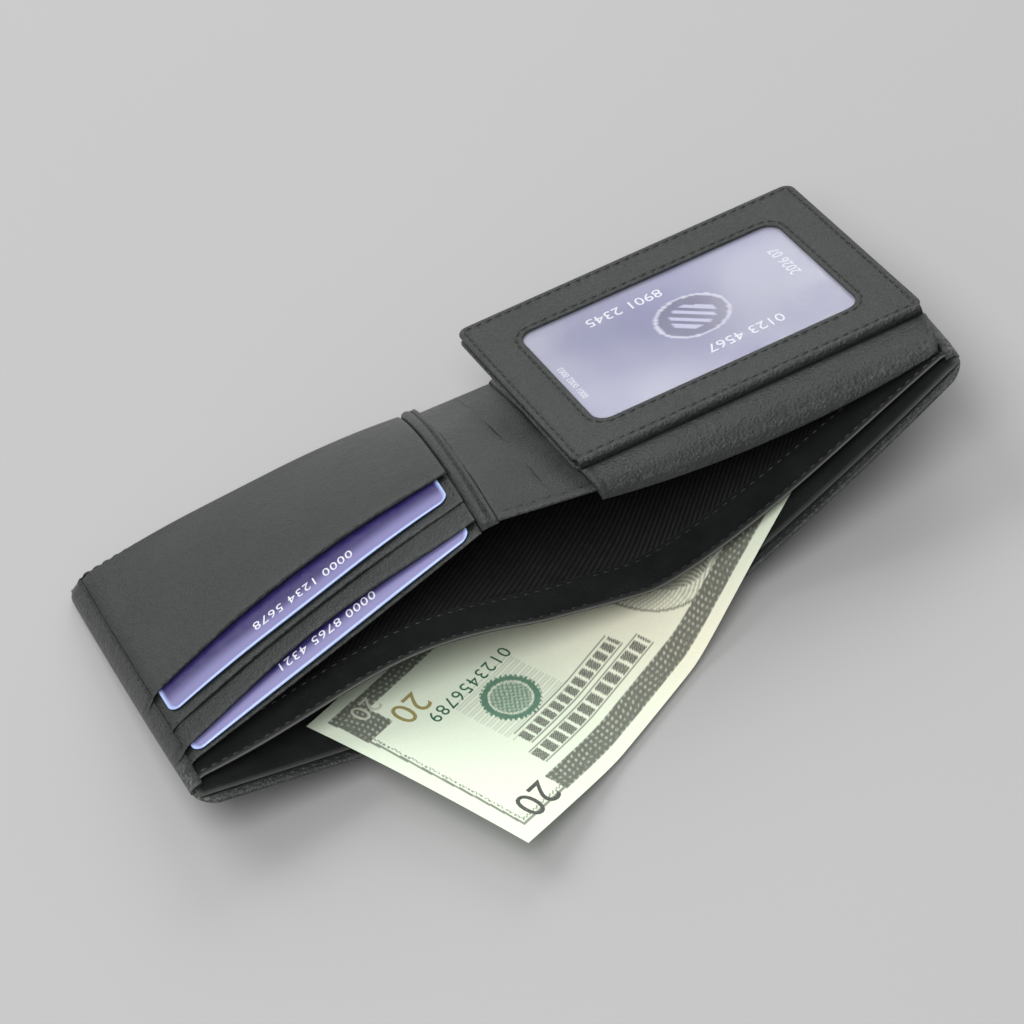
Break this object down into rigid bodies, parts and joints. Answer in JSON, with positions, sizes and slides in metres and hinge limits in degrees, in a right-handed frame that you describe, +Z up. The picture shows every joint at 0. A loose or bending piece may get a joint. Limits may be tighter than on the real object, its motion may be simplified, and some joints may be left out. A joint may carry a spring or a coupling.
{
  "type": "folding wallet",
  "caption": "Open leather bifold wallet with a turn-over window flap, card pockets, two cash compartments, cards and a note that slide out.",
  "frame": {"origin": "on the underside of the spine, midway across the fold", "axes": "+X across the open wallet from the card leaf to the flap leaf, +Y from the open edge to the closed edge, +Z up off the table"},
  "size_m": [0.218, 0.1417, 0.0441],
  "materials": {
    "shell_leather": "near-black smooth full-grain leather with fine pebbling and a soft sheen",
    "panel_leather": "near-black smooth leather, thin, softly creased",
    "lining_cloth": "black satin twill lining cloth",
    "suede_band": "matt black suede facing band",
    "clear_vinyl": "clear glossy vinyl window",
    "card_plastic": "lavender printed card with a pale edge, satin",
    "note_paper": null
  },
  "bodies": {
    "right_leaf": {"shell_spine": "shell_leather", "shell_right": "shell_leather", "shell_lining_right": "lining_cloth", "divider_right": "lining_cloth", "divider_band_right": "suede_band", "right_panel_lining": "lining_cloth", "right_panel": "panel_leather", "right_pocket_upper": "panel_leather", "right_pocket_lower": "panel_leather", "spine_strip_right": "panel_leather", "flap_hinge_band": "shell_leather"},
    "left_leaf": {"shell_left": "shell_leather", "shell_lining_left": "lining_cloth", "divider_left": "lining_cloth", "divider_band_left": "suede_band", "left_panel_lining": "lining_cloth", "left_panel": "panel_leather", "left_pocket_rear": "panel_leather", "left_pocket_middle": "panel_leather", "left_pocket_front": "panel_leather", "left_seam": "shell_leather", "spine_strip_left": "panel_leather"},
    "flap": {"flap_back": "shell_leather", "flap_lining": "lining_cloth", "flap_window": "clear_vinyl", "flap_frame": "panel_leather"},
    "id_card": {"id_card": "card_plastic"},
    "card_front": {"card_front": "card_plastic"},
    "card_rear": {"card_rear": "card_plastic"},
    "note": {"note_left": "note_paper"},
    "note_tail": {"note_right": "note_paper"}
  },
  "joints": [
    {"name": "spine_fold", "type": "hinge", "parent": "right_leaf", "child": "left_leaf", "pos_m": [0, 0, 0.013], "axis": [0, -1, 0], "range_deg": [-170, 0], "deforming": ["shell_right", "shell_lining_right", "divider_right", "divider_band_right", "right_panel_lining", "right_panel", "right_pocket_upper", "right_pocket_lower", "spine_strip_right", "flap_hinge_band", "shell_left", "shell_lining_left", "divider_left", "divider_band_left", "left_panel_lining", "left_panel", "left_pocket_rear", "left_pocket_middle", "left_pocket_front", "left_seam", "spine_strip_left", "flap_back", "flap_lining", "flap_window", "flap_frame", "id_card", "card_front", "card_rear", "note_left", "note_right", "shell_spine"]},
    {"name": "flap_hinge", "type": "hinge", "parent": "right_leaf", "child": "flap", "pos_m": [0.05559, -0.03103, 0.03818], "axis": [0.9985, 0.008, -0.0545], "range_deg": [0, 165]},
    {"name": "id_card_slide", "type": "slide", "parent": "flap", "child": "id_card", "axis": [-0.0451, 0.9776, -0.2057], "range_m": [0, 0.05]},
    {"name": "card_front_slide", "type": "slide", "parent": "left_leaf", "child": "card_front", "axis": [0, -0.9336, 0.3584], "range_m": [0, 0.05]},
    {"name": "card_rear_slide", "type": "slide", "parent": "left_leaf", "child": "card_rear", "axis": [0, -0.9537, 0.3007], "range_m": [0, 0.05]},
    {"name": "note_slide", "type": "slide", "parent": "left_leaf", "child": "note", "axis": [0, -0.9877, 0.1564], "range_m": [0, 0.05]},
    {"name": "note_fold", "type": "hinge", "parent": "note", "child": "note_tail", "pos_m": [0, 0, 0.013], "axis": [0, -1, 0], "range_deg": [0, 170]}
  ],
  "couplings": [
    {"joint": "note_fold", "follows": "spine_fold", "ratio": -1}
  ]
}
